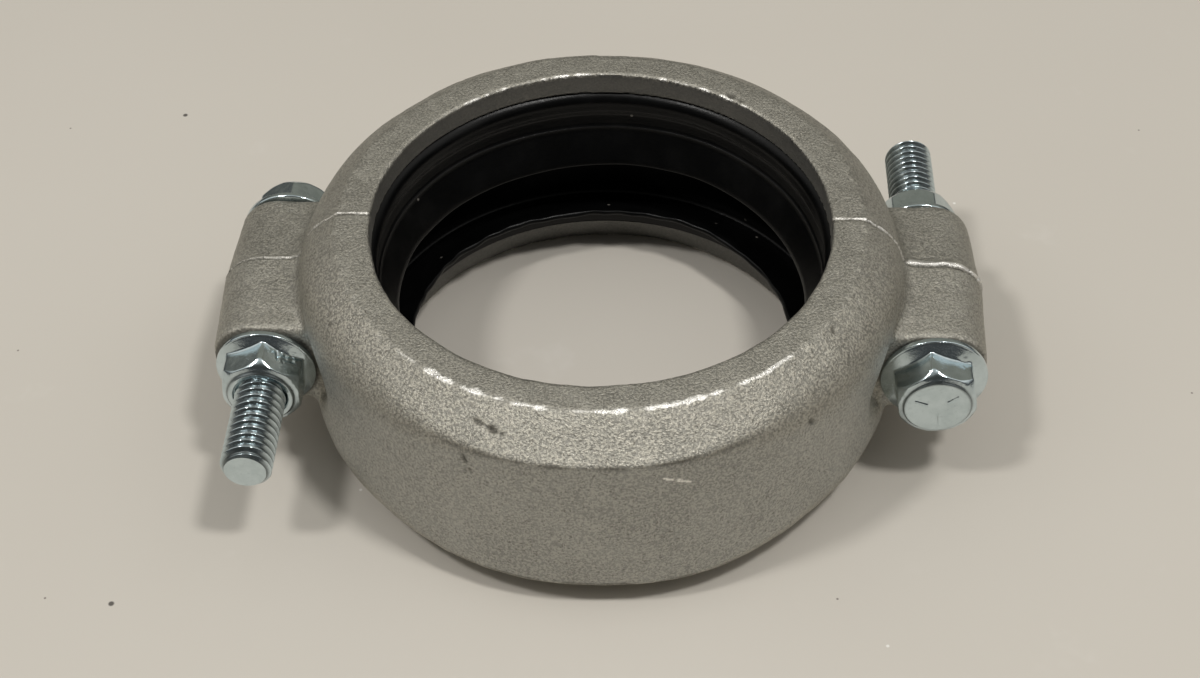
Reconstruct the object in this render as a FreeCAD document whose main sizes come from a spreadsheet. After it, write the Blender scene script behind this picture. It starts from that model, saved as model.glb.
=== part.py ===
"""Grooved pipe coupling for a 3 inch pipe: two cast halves, a rubber gasket, two flange bolts and nuts.

Frame: the origin is on the pipe axis, half way along the coupling. Z runs along the pipe, X across
the two bolts, and Y along the bolts, so the halves part at the plane Y = 0. Millimetres and degrees.
"""
import FreeCAD, Part
import math
import os
import Sketcher

Vector = FreeCAD.Vector
FULL_TURN = 360
HALF_TURN = 180
QUARTER_TURN = 90
TOLERANCE = 0.01
EDGE_SAMPLES = 5
LEFT = -1
RIGHT = 1

# name, value, meaning
SIZES = [
    ("groove_dia", "84.94", "groove in the pipe, where the keys close"),
    ("groove_clearance", "0.53", "key bore outside the groove, on the radius"),
    ("key_thickness", "4.73", "each key, along the pipe"),
    ("key_edge", "0.5", "rounding of the key's bore edges"),
    ("channel_width", "34.4", "gasket channel between the keys"),
    ("channel_depth", "8.4", "from the key bore to the channel's floor"),
    ("channel_corner", "2.6", "rounding in the channel's corners"),
    ("ring_wall", "5.6", "metal outside the channel's floor"),
    ("collar_face", "6.2", "flat end face, on the radius"),
    ("collar_edge", "0.6", "rounding between end face and cone"),
    ("shoulder_drop", "6.0", "cone, along the pipe"),
    ("shoulder_edge", "0.9", "rounding between cone and straight wall"),
    ("bolt_standoff", "5.5", "bolt axis outside the straight wall"),
    ("pad_length", "18.5", "bolt pad from the parting plane to its seat"),
    ("pad_height", "20.6", "bolt pad along the pipe, at the parting plane"),
    ("pad_overhang", "10.5", "bolt pad beyond the bolt axis"),
    ("pad_round", "8.0", "outer corners of the bolt pad"),
    ("pad_draft", "2.5", "draft of the bolt pad, in degrees"),
    ("pad_edge", "1.5", "rounding round the pad's seat"),
    ("pad_blend", "2.5", "fillet from the pad into the ring"),
    ("relief_clearance", "2.3", "relief in the ring round the widest flange"),
    ("relief_corner", "1.0", "rounding in the bottom of the relief"),
    ("hole_clearance", "0.6", "bolt hole round the bolt, on the radius"),
    ("gasket_clearance", "0.2", "gasket inside its channel, on every side"),
    ("gasket_corner", "2.8", "outer corners of the gasket"),
    ("flank_thickness", "4.1", "gasket flank against the key"),
    ("web_thickness", "4.0", "gasket's outer web"),
    ("bead_reach", "0.9", "bead inside the key bore"),
    ("bead_width", "4.0", "bead, along the pipe"),
    ("bead_round", "0.7", "rounding of the bead"),
    ("groove_depth", "1.2", "groove between the upper bead and its lip, on the radius"),
    ("groove_drop", "1.0", "the same groove, along the pipe"),
    ("lip_tip", "1.0", "thickness of the sealing lips at their tips"),
    ("lip_root", "2.0", "thickness of the sealing lips at their roots"),
    ("lip_reach", "4.1", "tip of the upper lip inside the key bore"),
    ("lip_length", "15.2", "upper lip and bead, along the pipe"),
    ("lip_slope", "23", "end of the upper lip off the level, in degrees"),
    ("low_lip_reach", "6.1", "tip of the lower lip inside the key bore"),
    ("low_lip_length", "7.8", "lower lip and bead, along the pipe"),
    ("low_lip_lean", "25", "end of the lower lip off the pipe axis, in degrees"),
    ("low_lip_heel", "1.0", "how far down the lower bead its lip begins"),
    ("rubber_edge", "0.35", "rounding of the lips' ends"),
    ("rubber_fillet", "0.8", "fillets in the gasket's hollows"),
    ("bolt_dia", "9.525", "bolt, over the thread"),
    ("bolt_length", "63.5", "bolt under its head"),
    ("bolt_point", "0.9", "chamfer on the bolt's end"),
    ("thread_clearance", "0.04", "nut's bore round the bolt, on the radius"),
    ("hex_flats", "14.288", "hexagon across its flats"),
    ("hex_bevel", "30", "bevel of the hexagon's corners, in degrees"),
    ("hex_land", "0.35", "from the hexagon's flats in to the bevel, and past its corners"),
    ("head_height", "8.5", "bolt head with its flange"),
    ("head_flange_dia", "19.8", "flange under the bolt head"),
    ("nut_height", "8.3", "nut with its flange"),
    ("nut_flange_dia", "18.7", "flange under the nut"),
    ("flange_rim", "1.3", "thickness of the flanges at the rim"),
    ("flange_slope", "22", "slope of the flanges' upper side, in degrees"),
    ("countersink", "0.7", "chamfer in the mouth of the nut's bore"),
    ("left_head_turn", "3", "turn of the left bolt's hexagon, in degrees"),
    ("right_nut_turn", "20", "turn of the right nut's hexagon, in degrees"),
]

# name, formula: radii and heights that follow from the sizes
PLACES = [
    ("bore_radius", "Sizes.groove_dia / 2 + Sizes.groove_clearance"),
    ("channel_radius", "Places.bore_radius + Sizes.channel_depth"),
    ("channel_half", "Sizes.channel_width / 2"),
    ("end_face", "Places.channel_half + Sizes.key_thickness"),
    ("collar_radius", "Places.bore_radius + Sizes.collar_face"),
    ("wall_radius", "Places.channel_radius + Sizes.ring_wall"),
    ("wall_half", "Places.end_face - Sizes.shoulder_drop"),
    ("bolt_place", "Places.wall_radius + Sizes.bolt_standoff"),
    ("pad_outer", "Places.bolt_place + Sizes.pad_overhang"),
    ("pad_half", "Sizes.pad_height / 2"),
    ("seat", "Sizes.pad_length"),
    ("relief_radius", "max(Sizes.head_flange_dia; Sizes.nut_flange_dia) / 2 + Sizes.relief_clearance"),
    ("relief_edge", "Places.bolt_place - Places.relief_radius"),
    ("hole_radius", "Sizes.bolt_dia / 2 + Sizes.hole_clearance"),
    ("gasket_radius", "Places.channel_radius - Sizes.gasket_clearance"),
    ("gasket_half", "Places.channel_half - Sizes.gasket_clearance"),
    ("web_radius", "Places.gasket_radius - Sizes.web_thickness"),
    ("pocket_top", "Places.gasket_half - Sizes.flank_thickness"),
    ("bead_radius", "Places.bore_radius - Sizes.bead_reach"),
    ("bead_foot", "Places.gasket_half - Sizes.bead_width"),
    ("neck_radius", "Places.bead_radius + Sizes.groove_depth"),
    ("neck_height", "Places.bead_foot - Sizes.groove_drop"),
    ("lip_back", "Places.neck_radius + Sizes.lip_root"),
    ("lip_radius", "Places.bore_radius - Sizes.lip_reach"),
    ("lip_end", "Places.gasket_half - Sizes.lip_length"),
    ("lip_outside", "Places.lip_radius + Sizes.lip_tip * cos(Sizes.lip_slope)"),
    ("lip_under", "Places.lip_end - Sizes.lip_tip * sin(Sizes.lip_slope)"),
    ("low_lip_radius", "Places.bore_radius - Sizes.low_lip_reach"),
    ("low_lip_end", "Places.gasket_half - Sizes.low_lip_length"),
    ("low_lip_crown", "Places.low_lip_radius + Sizes.lip_tip * sin(Sizes.low_lip_lean)"),
    ("low_lip_under", "Places.low_lip_end + Sizes.lip_tip * cos(Sizes.low_lip_lean)"),
    ("low_heel", "Places.bead_foot + Sizes.low_lip_heel"),
    ("bolt_radius", "Sizes.bolt_dia / 2"),
    ("bolt_end", "Sizes.bolt_length"),
    ("bolt_shoulder", "Sizes.bolt_length - Sizes.bolt_point"),
    ("point_radius", "Places.bolt_radius - Sizes.bolt_point"),
    ("nut_bore", "Places.bolt_radius + Sizes.thread_clearance"),
    ("nut_mouth", "Places.nut_bore + Sizes.countersink"),
    ("hex_half", "Sizes.hex_flats / 2"),
    ("hex_corner", "Places.hex_half / cos(30)"),
    ("hex_side_half", "Places.hex_corner / 2"),
    ("hex_inner", "Places.hex_half - Sizes.hex_land"),
    ("hex_outside", "Places.hex_corner + Sizes.hex_land"),
    ("bevel_drop", "(Places.hex_outside - Places.hex_inner) * tan(Sizes.hex_bevel)"),
    ("flange_edge", "Sizes.flange_rim"),
    ("head_flange_radius", "Sizes.head_flange_dia / 2"),
    ("head_flange_crown",
     "Sizes.flange_rim + (Places.head_flange_radius - Places.hex_inner) * tan(Sizes.flange_slope)"),
    ("head_top", "Sizes.head_height"),
    ("head_top_bevel", "Places.head_top - Places.bevel_drop"),
    ("nut_flange_radius", "Sizes.nut_flange_dia / 2"),
    ("nut_flange_crown",
     "Sizes.flange_rim + (Places.nut_flange_radius - Places.hex_inner) * tan(Sizes.flange_slope)"),
    ("nut_top", "Sizes.nut_height"),
    ("nut_top_bevel", "Places.nut_top - Places.bevel_drop"),
    ("mouth_depth", "Sizes.countersink"),
    ("nut_mouth_floor", "Places.nut_top - Sizes.countersink"),
]


def fill_sheets(doc):
    """The sizes as plain numbers on one sheet, and the places worked out from them on another."""
    sizes = doc.addObject("Spreadsheet::Sheet", "Sizes")
    for row, (name, value, meaning) in enumerate(SIZES, start=1):
        sizes.set(f"A{row}", meaning)
        sizes.set(f"B{row}", value)
        sizes.setAlias(f"B{row}", name)
    doc.recompute()
    places = doc.addObject("Spreadsheet::Sheet", "Places")
    for row, (name, formula) in enumerate(PLACES, start=1):
        places.setAlias(f"B{row}", name)
        places.set(f"A{row}", name.replace("_", " "))
        places.set(f"B{row}", "=" + formula.replace("Places.", ""))
    doc.recompute()
    return sizes, places


def radius_of(point):
    """Distance from the pipe axis."""
    return math.hypot(point.x, point.y)


class Names:
    """Reads a size, or a signed place such as "-end_face", as a number or as an expression."""

    def __init__(self, sizes, places):
        self.sizes = sizes
        self.places = places

    def size(self, name):
        return float(self.sizes.get(name))

    def number(self, name):
        if name == "0":
            return 0.0
        value = float(self.places.get(name.lstrip("-")))
        return -value if name.startswith("-") else value

    def formula(self, name):
        sign = "-" if name.startswith("-") else ""
        return f"{sign}Places.{name.lstrip('-')}"


def origin_plane(body, role):
    """One of the body's own three planes."""
    return [plane for plane in body.Origin.OriginFeatures if plane.Role == role][0]


def new_sketch(body, name, role, offset=None):
    """A sketch on an origin plane of the body, moved along its normal by an expression."""
    sketch = body.newObject("Sketcher::SketchObject", name)
    sketch.AttachmentSupport = (origin_plane(body, role), [""])
    sketch.MapMode = "FlatFace"
    if offset:
        sketch.setExpression("AttachmentOffset.Base.z", offset)
    return sketch


def bind(sketch, formula, *parts):
    """Add one constraint and bind its value to a formula."""
    index = sketch.addConstraint(Sketcher.Constraint(*parts))
    sketch.setExpression(f"Constraints[{index}]", formula)


def fix_spot(sketch, names, geometry, point, spot):
    """Hold a point of the sketch at a named place."""
    for axis, kind, name in ((-2, "DistanceX", spot[0]), (-1, "DistanceY", spot[1])):
        if name == "0":
            sketch.addConstraint(Sketcher.Constraint("PointOnObject", geometry, point, axis))
        else:
            bind(sketch, names.formula(name), kind, -1, 1, geometry, point, names.number(name))


def arc_between(corner, before, after, radius):
    """The arc that rounds a corner, and the points where it leaves the sides before and after."""
    one_way = (before - corner).normalize()
    other_way = (after - corner).normalize()
    half = one_way.getAngle(other_way) / 2
    start = corner + one_way * (radius / math.tan(half))
    end = corner + other_way * (radius / math.tan(half))
    centre = corner + (one_way + other_way).normalize() * (radius / math.sin(half))
    first = math.atan2(start.y - centre.y, start.x - centre.x)
    last = math.atan2(end.y - centre.y, end.x - centre.x)
    if (last - first) % math.tau > math.pi:
        first, last = last, first
    return Part.ArcOfCircle(Part.Circle(centre, Vector(0, 0, 1), radius), first, last), start, end


def draw_outline(sketch, names, corners):
    """A closed outline of straight sides. A corner is (across, up) or (across, up, rounding)."""
    spots = [Vector(names.number(corner[0]), names.number(corner[1]), 0) for corner in corners]
    count = len(corners)
    starts = []
    ends = []
    arcs = {}
    for i, corner in enumerate(corners):
        starts.append(spots[i])
        ends.append(spots[i])
        if len(corner) > 2:
            neighbours = spots[i - 1], spots[(i + 1) % count]
            arc, ends[i], starts[i] = arc_between(spots[i], *neighbours, names.size(corner[2]))
            arcs[i] = sketch.addGeometry(arc)
    sides = [
        sketch.addGeometry(Part.LineSegment(starts[i], ends[(i + 1) % count])) for i in range(count)
    ]
    for i, corner in enumerate(corners):
        side_in = sides[i - 1]
        side_out = sides[i]
        if i not in arcs:
            sketch.addConstraint(Sketcher.Constraint("Coincident", side_in, 2, side_out, 1))
            fix_spot(sketch, names, side_out, 1, corner)
            continue
        arc = arcs[i]
        near_start = sketch.Geometry[arc].StartPoint.distanceToPoint(ends[i]) < TOLERANCE
        arc_in, arc_out = (1, 2) if near_start else (2, 1)
        sketch.addConstraint(Sketcher.Constraint("Tangent", side_in, 2, arc, arc_in))
        sketch.addConstraint(Sketcher.Constraint("Tangent", arc, arc_out, side_out, 1))
        apex = sketch.addGeometry(Part.Point(spots[i]), True)
        sketch.addConstraint(Sketcher.Constraint("PointOnObject", apex, 1, side_in))
        sketch.addConstraint(Sketcher.Constraint("PointOnObject", apex, 1, side_out))
        fix_spot(sketch, names, apex, 1, corner)
        bind(sketch, f"Sizes.{corner[2]}", "Radius", arc, names.size(corner[2]))


def draw_circle(sketch, names, centre, radius):
    """A circle of a named radius round a named place."""
    spot = Vector(names.number(centre[0]), names.number(centre[1]), 0)
    circle = sketch.addGeometry(Part.Circle(spot, Vector(0, 0, 1), names.number(radius)))
    fix_spot(sketch, names, circle, 3, centre)
    bind(sketch, names.formula(radius), "Radius", circle, names.number(radius))


def mirrored(corners):
    """The same corners across the vertical axis, in reverse, so that the outline still closes."""
    flipped = []
    for corner in reversed(corners):
        across = corner[0]
        across = across[1:] if across.startswith("-") else f"-{across}"
        flipped.append((across,) + corner[1:])
    return flipped


def both_halves(corners):
    """An upper chain of corners followed by its mirror image below the horizontal axis."""
    below = [(corner[0], f"-{corner[1]}") + corner[2:] for corner in reversed(corners)]
    return corners + below


def draw_axis(sketch, names, across):
    """An upright construction line at a named place, for a turned feature beside the pipe axis."""
    x = names.number(across)
    line = sketch.addGeometry(Part.LineSegment(Vector(x, 0, 0), Vector(x, -names.number("seat"), 0)), True)
    fix_spot(sketch, names, line, 1, (across, "0"))
    fix_spot(sketch, names, line, 2, (across, "-seat"))
    return "Axis0"


def turned(body, name, sketch, kind, angle, backwards=False, axis="V_Axis"):
    """Turn a sketch about an upright axis of its own, to add material or to cut it."""
    feature = body.newObject(kind, name)
    feature.Profile = sketch
    feature.ReferenceAxis = (sketch, [axis])
    feature.Angle = angle
    feature.Reversed = backwards
    return feature


def raised(body, name, sketch, kind, length, backwards=False):
    """Pad or pocket a sketch along its normal by a bound length."""
    feature = body.newObject(kind, name)
    feature.Profile = sketch
    feature.setExpression("Length", length)
    feature.Reversed = backwards
    return feature


def rounded(body, name, base, edges, radius):
    """Fillet some edges of the last feature."""
    if not edges:
        raise ValueError(f"{name}: no edge to round")
    fillet = body.newObject("PartDesign::Fillet", name)
    fillet.Base = (base, edges)
    fillet.setExpression("Radius", radius)
    return fillet


def edges_where(shape, test):
    """Names of the edges that pass a test on five points along them."""
    numbered = enumerate(shape.Edges, start=1)
    return [f"Edge{number}" for number, edge in numbered if test(edge.discretize(EDGE_SAMPLES))]


def make_housing(doc, names, label, turn):
    """One cast half: a half ring with a key at each end, a gasket channel and two bolt pads.

    The ring is turned solid first and cored last, so pads and fillets never reach into the channel.
    """
    body = doc.addObject("PartDesign::Body", label)
    body.Label = label
    wall = names.number("wall_radius")
    seat = -names.number("seat")

    section = new_sketch(body, f"{label}_section", "XZ_Plane")
    draw_outline(section, names, both_halves([
        ("0", "end_face"),
        ("collar_radius", "end_face", "collar_edge"),
        ("wall_radius", "wall_half", "shoulder_edge"),
    ]))
    turned(body, f"{label}_ring", section, "PartDesign::Revolution", HALF_TURN, backwards=True)

    outline = new_sketch(body, f"{label}_pad_outline", "XZ_Plane")
    pad = [
        ("bore_radius", "pad_half"),
        ("pad_outer", "pad_half", "pad_round"),
        ("pad_outer", "-pad_half", "pad_round"),
        ("bore_radius", "-pad_half"),
    ]
    draw_outline(outline, names, pad)
    draw_outline(outline, names, mirrored(pad))
    pads = raised(body, f"{label}_pads", outline, "PartDesign::Pad", "Sizes.pad_length")
    pads.setExpression("TaperAngle", "-Sizes.pad_draft")
    doc.recompute()

    def round_the_seat(points):
        on_seat = all(abs(point.y - seat) < TOLERANCE for point in points)
        return on_seat and radius_of(points[len(points) // 2]) > wall + TOLERANCE

    rims = edges_where(pads.Shape, round_the_seat)
    rimmed = rounded(body, f"{label}_seat_rims", pads, rims, "Sizes.pad_edge")
    doc.recompute()

    def along_the_root(points):
        on_wall = all(abs(radius_of(point) - wall) < TOLERANCE for point in points)
        level = abs(points[0].z - points[-1].z) < names.size("pad_edge")
        long = abs(points[0].y - points[-1].y) > names.size("pad_length") / 2
        return on_wall and level and long

    roots = edges_where(rimmed.Shape, along_the_root)
    rounded(body, f"{label}_blends", rimmed, roots, "Sizes.pad_blend")

    core = new_sketch(body, f"{label}_core", "XZ_Plane")
    draw_outline(core, names, both_halves([
        ("0", "end_face"),
        ("bore_radius", "end_face"),
        ("bore_radius", "channel_half"),
        ("channel_radius", "channel_half", "channel_corner"),
    ]))
    cored = turned(body, f"{label}_channel", core, "PartDesign::Groove", FULL_TURN)
    doc.recompute()

    def along_a_key(points):
        in_bore = all(abs(radius_of(point) - names.number("bore_radius")) < TOLERANCE for point in points)
        return in_bore and abs(points[0].z - points[-1].z) < TOLERANCE

    keys = edges_where(cored.Shape, along_a_key)
    rounded(body, f"{label}_key_edges", cored, keys, "Sizes.key_edge")

    for side, sign in (("right", ""), ("left", "-")):
        relief = new_sketch(body, f"{label}_{side}_relief_outline", "XY_Plane")
        axis = draw_axis(relief, names, f"{sign}bolt_place")
        draw_outline(relief, names, [
            (f"{sign}bolt_place", "-seat"),
            (f"{sign}relief_edge", "-seat", "relief_corner"),
            (f"{sign}relief_edge", "-wall_radius"),
            (f"{sign}bolt_place", "-wall_radius"),
        ])
        turned(body, f"{label}_{side}_relief", relief, "PartDesign::Groove", FULL_TURN, axis=axis)

    holes = new_sketch(body, f"{label}_hole_outline", "XZ_Plane")
    for side in ("bolt_place", "-bolt_place"):
        draw_circle(holes, names, (side, "0"), "hole_radius")
    raised(body, f"{label}_bolt_holes", holes, "PartDesign::Pocket", "Places.wall_radius", True)
    doc.recompute()
    body.Placement = FreeCAD.Placement(Vector(), FreeCAD.Rotation(Vector(0, 0, 1), turn))
    return body


def make_gasket(doc, names):
    """The rubber ring: outer web, two flanks with beads, and a sealing lip inside each flank.

    With no pipe to hold them, the upper lip hangs over the hollow between them, and the lower
    one stands further in.
    """
    body = doc.addObject("PartDesign::Body", "gasket")
    body.Label = "gasket"
    section = new_sketch(body, "gasket_section", "XZ_Plane")
    draw_outline(section, names, [
        ("web_radius", "pocket_top", "rubber_fillet"),
        ("lip_back", "pocket_top", "rubber_fillet"),
        ("lip_outside", "lip_under", "rubber_edge"),
        ("lip_radius", "lip_end", "rubber_edge"),
        ("neck_radius", "neck_height", "rubber_fillet"),
        ("bead_radius", "bead_foot", "bead_round"),
        ("bead_radius", "gasket_half", "bead_round"),
        ("gasket_radius", "gasket_half", "gasket_corner"),
        ("gasket_radius", "-gasket_half", "gasket_corner"),
        ("bead_radius", "-gasket_half", "bead_round"),
        ("bead_radius", "-low_heel", "rubber_fillet"),
        ("low_lip_radius", "-low_lip_under", "rubber_edge"),
        ("low_lip_crown", "-low_lip_end", "rubber_edge"),
        ("lip_back", "-pocket_top", "rubber_fillet"),
        ("web_radius", "-pocket_top", "rubber_fillet"),
    ])
    turned(body, "gasket_ring", section, "PartDesign::Revolution", FULL_TURN)
    return body


def add_hexagon(body, names, label, flange, height):
    """A hexagon on a dished flange, standing on the plane Z = 0, its corners bevelled on top."""
    disc = new_sketch(body, f"{label}_flange_outline", "XZ_Plane")
    draw_outline(disc, names, [
        ("0", "0"),
        ("0", f"{flange}_crown"),
        ("hex_inner", f"{flange}_crown"),
        (f"{flange}_radius", "flange_edge"),
        (f"{flange}_radius", "0"),
    ])
    turned(body, f"{label}_flange", disc, "PartDesign::Revolution", FULL_TURN)
    hexagon = new_sketch(body, f"{label}_hexagon_outline", "XY_Plane")
    draw_outline(hexagon, names, [
        ("0", "hex_corner"),
        ("-hex_half", "hex_side_half"),
        ("-hex_half", "-hex_side_half"),
        ("0", "-hex_corner"),
        ("hex_half", "-hex_side_half"),
        ("hex_half", "hex_side_half"),
    ])
    raised(body, f"{label}_hexagon", hexagon, "PartDesign::Pad", f"Places.{height}")
    bevel = new_sketch(body, f"{label}_bevel_outline", "XZ_Plane")
    draw_outline(bevel, names, [
        ("hex_inner", height),
        ("hex_outside", height),
        ("hex_outside", f"{height}_bevel"),
    ])
    turned(body, f"{label}_bevel", bevel, "PartDesign::Groove", FULL_TURN)


def make_bolt(doc, names, label):
    """A hexagon flange bolt with its head above the plane Z = 0 and its shank below."""
    body = doc.addObject("PartDesign::Body", label)
    body.Label = label
    add_hexagon(body, names, label, "head_flange", "head_top")
    shank = new_sketch(body, f"{label}_shank_outline", "XZ_Plane")
    draw_outline(shank, names, [
        ("0", "0"),
        ("bolt_radius", "0"),
        ("bolt_radius", "-bolt_shoulder"),
        ("point_radius", "-bolt_end"),
        ("0", "-bolt_end"),
    ])
    turned(body, f"{label}_shank", shank, "PartDesign::Revolution", FULL_TURN)
    return body


def make_nut(doc, names, label):
    """A hexagon flange nut standing on the plane Z = 0, its bore countersunk at both ends."""
    body = doc.addObject("PartDesign::Body", label)
    body.Label = label
    add_hexagon(body, names, label, "nut_flange", "nut_top")
    bore = new_sketch(body, f"{label}_bore_outline", "XZ_Plane")
    draw_outline(bore, names, [
        ("0", "0"),
        ("nut_mouth", "0"),
        ("nut_bore", "mouth_depth"),
        ("nut_bore", "nut_mouth_floor"),
        ("nut_mouth", "nut_top"),
        ("0", "nut_top"),
    ])
    turned(body, f"{label}_bore", bore, "PartDesign::Groove", FULL_TURN)
    return body


def seat_fastener(body, names, side, front, turn):
    """Stand a bolt or nut on the seat of a pad: side is +1 or -1 along X, front is the -Y end."""
    way = 1 if front else -1
    upright = FreeCAD.Rotation(Vector(1, 0, 0), way * QUARTER_TURN)
    own_turn = FreeCAD.Rotation(Vector(0, 0, 1), turn)
    body.Placement = FreeCAD.Placement(Vector(), upright.multiply(own_turn))
    body.setExpression("Placement.Base.x", f"{side} * Places.bolt_place")
    body.setExpression("Placement.Base.y", f"{-way} * Sizes.pad_length")


def main():
    """Build the document, prove every object sound and write one STEP file for each piece."""
    doc = FreeCAD.newDocument("coupling")
    names = Names(*fill_sheets(doc))
    bodies = [
        make_housing(doc, names, "housing_front", 0),
        make_housing(doc, names, "housing_rear", HALF_TURN),
        make_gasket(doc, names),
    ]
    fasteners = [
        (make_bolt, "bolt_left", LEFT, False, "left_head_turn"),
        (make_nut, "nut_left", LEFT, True, None),
        (make_bolt, "bolt_right", RIGHT, True, None),
        (make_nut, "nut_right", RIGHT, False, "right_nut_turn"),
    ]
    for make, label, side, front, turn in fasteners:
        body = make(doc, names, label)
        seat_fastener(body, names, side, front, names.size(turn) if turn else 0)
        bodies.append(body)
    doc.recompute()

    for item in doc.Objects:
        if "Invalid" in item.State or "Error" in item.State:
            raise RuntimeError(f"{item.Name} failed: {item.State}")
    for body in bodies:
        if body.Shape.isNull() or not body.Shape.isValid() or len(body.Shape.Solids) != 1:
            raise RuntimeError(f"{body.Label} is not one sound solid")

    os.makedirs("parts", exist_ok=True)
    for body in bodies:
        body.Shape.exportStep(f"parts/{body.Label}.step")
        print(body.Label, "volume", round(body.Shape.Volume), "cubic mm")


main()
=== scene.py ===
# %% [markdown]
# # A grooved pipe coupling
# Two cast aluminium half rings close round a rubber gasket, and two flange bolts pull them together.
# The halves grip a groove in each pipe end, and the gasket seals the joint between the pipes.
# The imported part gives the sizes, so this script only has to make the surfaces look cast, moulded
# and plated. Lengths are written in millimetres and turned into metres when a mesh is made.

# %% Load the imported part
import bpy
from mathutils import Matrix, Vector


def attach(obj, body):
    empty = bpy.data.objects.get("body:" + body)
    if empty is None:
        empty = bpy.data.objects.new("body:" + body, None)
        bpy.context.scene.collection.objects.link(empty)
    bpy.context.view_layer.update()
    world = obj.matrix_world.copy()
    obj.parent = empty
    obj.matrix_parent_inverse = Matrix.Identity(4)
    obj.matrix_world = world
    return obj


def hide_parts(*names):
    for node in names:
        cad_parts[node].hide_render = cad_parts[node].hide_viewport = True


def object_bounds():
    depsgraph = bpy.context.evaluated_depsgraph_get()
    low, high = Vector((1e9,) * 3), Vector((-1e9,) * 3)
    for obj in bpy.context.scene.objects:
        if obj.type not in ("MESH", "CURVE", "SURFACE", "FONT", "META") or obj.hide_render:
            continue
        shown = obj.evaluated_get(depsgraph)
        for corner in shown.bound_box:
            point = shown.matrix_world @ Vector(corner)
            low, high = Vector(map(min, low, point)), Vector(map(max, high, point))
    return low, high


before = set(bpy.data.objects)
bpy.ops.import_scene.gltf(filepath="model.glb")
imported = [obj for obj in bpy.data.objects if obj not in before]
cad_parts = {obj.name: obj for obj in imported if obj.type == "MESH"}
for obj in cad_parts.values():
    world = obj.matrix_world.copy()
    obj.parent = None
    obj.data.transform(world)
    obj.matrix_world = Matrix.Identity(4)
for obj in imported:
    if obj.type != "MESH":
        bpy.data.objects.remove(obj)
cad_box = [list(corner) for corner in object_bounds()]

import math

import bpy
import numpy as np
from mathutils import Matrix, Vector

MM = 0.001
FLOOR_Z = cad_box[0][2]
print("packed nodes:", sorted(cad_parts))
print("box of the part in metres:", cad_box)

# %% [markdown]
# ## The camera
# The camera looks down on the coupling at 45 degrees from just right of its middle. It could be
# aimed with a Track To constraint, but a matrix built from azimuth, elevation and roll says exactly
# what was measured and leaves nothing for a constraint to change.

# %% Place the camera
def look_from(target, azimuth, elevation, roll, distance):
    """Matrix of a camera that looks at the target. Azimuth 0 looks along +Y, with +X to the right."""
    turn = math.radians(azimuth)
    climb = math.radians(elevation)
    level = math.cos(climb)
    back = Vector((level * math.sin(turn), -level * math.cos(turn), math.sin(climb)))
    right = Vector((math.cos(turn), math.sin(turn), 0))
    axes = Matrix((right, back.cross(right), back)).transposed().to_4x4()
    spot = Matrix.Translation(Vector(target) + back * distance)
    return spot @ axes @ Matrix.Rotation(math.radians(roll), 4, "Z")


eye = bpy.data.cameras.new("camera")
eye.sensor_width = 36
eye.lens = 59.79
camera = bpy.data.objects.new("camera", eye)
camera.matrix_world = look_from((0, -0.01031, 0), 2.42, 45.23, -0.94, 0.3791)
bpy.context.scene.collection.objects.link(camera)
bpy.context.scene.camera = camera
print("camera at", [round(value, 4) for value in camera.matrix_world.translation])

# %% [markdown]
# ## Light
# Two lamps hang about a metre above the table, in front of the coupling, left and right. Each
# throws its own shadow, and where the shadows cross only the room's own light is left. A sun lamp
# would be simpler, but lamps at a real distance give shadows and highlights that shift across the
# part. The lamps give six tenths of the whole light, and the room gives the rest.

# %% Hang the lamps
def hang_lamp(name, place, width, share):
    """An area lamp aimed at the part, which gives the table that share of full brightness."""
    lamp = bpy.data.lights.new(name, "AREA")
    lamp.shape = "DISK"
    lamp.size = width
    lamp.color = (1.0, 0.985, 0.96)
    away = Vector(place) - Vector((0, 0, FLOOR_Z))
    lean = away.z / away.length
    lamp.energy = share * math.pi ** 2 * away.length_squared / lean
    holder = bpy.data.objects.new(name, lamp)
    holder.matrix_world = Matrix.Translation(place) @ away.to_track_quat("Z", "Y").to_matrix().to_4x4()
    bpy.context.scene.collection.objects.link(holder)
    print(name, "at", place, "gives", round(lamp.energy, 2), "watts")


hang_lamp("lamp_right", (0.42, -0.305, 1.22), 0.168, 0.34)
hang_lamp("lamp_left", (-0.59, -0.325, 1.22), 0.18, 0.25)
bpy.context.scene.view_settings.view_transform = "Standard"

# %% [markdown]
# ## Writing materials as expressions
# A shader is a graph of nodes, but most of that graph is arithmetic. The class `Wire` wraps one
# output socket and overloads + - * so that `1 - mask * 0.5` adds the Math nodes by itself.
# The class `Finish` makes every other node through one method, which takes the node's type, its
# settings and the values of its sockets. Both keep a material readable from top to bottom.

# %% Wires and finishes
class Wire:
    """One output socket of a finish. Arithmetic with it adds Math nodes."""

    def __init__(self, finish, socket):
        self.finish = finish
        self.socket = socket

    def maths(self, operation, *values):
        """Any operation of a Math node."""
        return self.finish.node("ShaderNodeMath", {"operation": operation}, dict(enumerate(values)))

    def __add__(self, other):
        return self.maths("ADD", self, other)

    def __radd__(self, other):
        return self.maths("ADD", other, self)

    def __sub__(self, other):
        return self.maths("SUBTRACT", self, other)

    def __rsub__(self, other):
        return self.maths("SUBTRACT", other, self)

    def __mul__(self, other):
        return self.maths("MULTIPLY", self, other)

    def __rmul__(self, other):
        return self.maths("MULTIPLY", other, self)

    def between(self, low, high):
        """0 below low, 1 above high and smooth between them."""
        settings = {"interpolation_type": "SMOOTHSTEP"}
        return self.finish.node("ShaderNodeMapRange", settings, {0: self, 1: low, 2: high})


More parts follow.
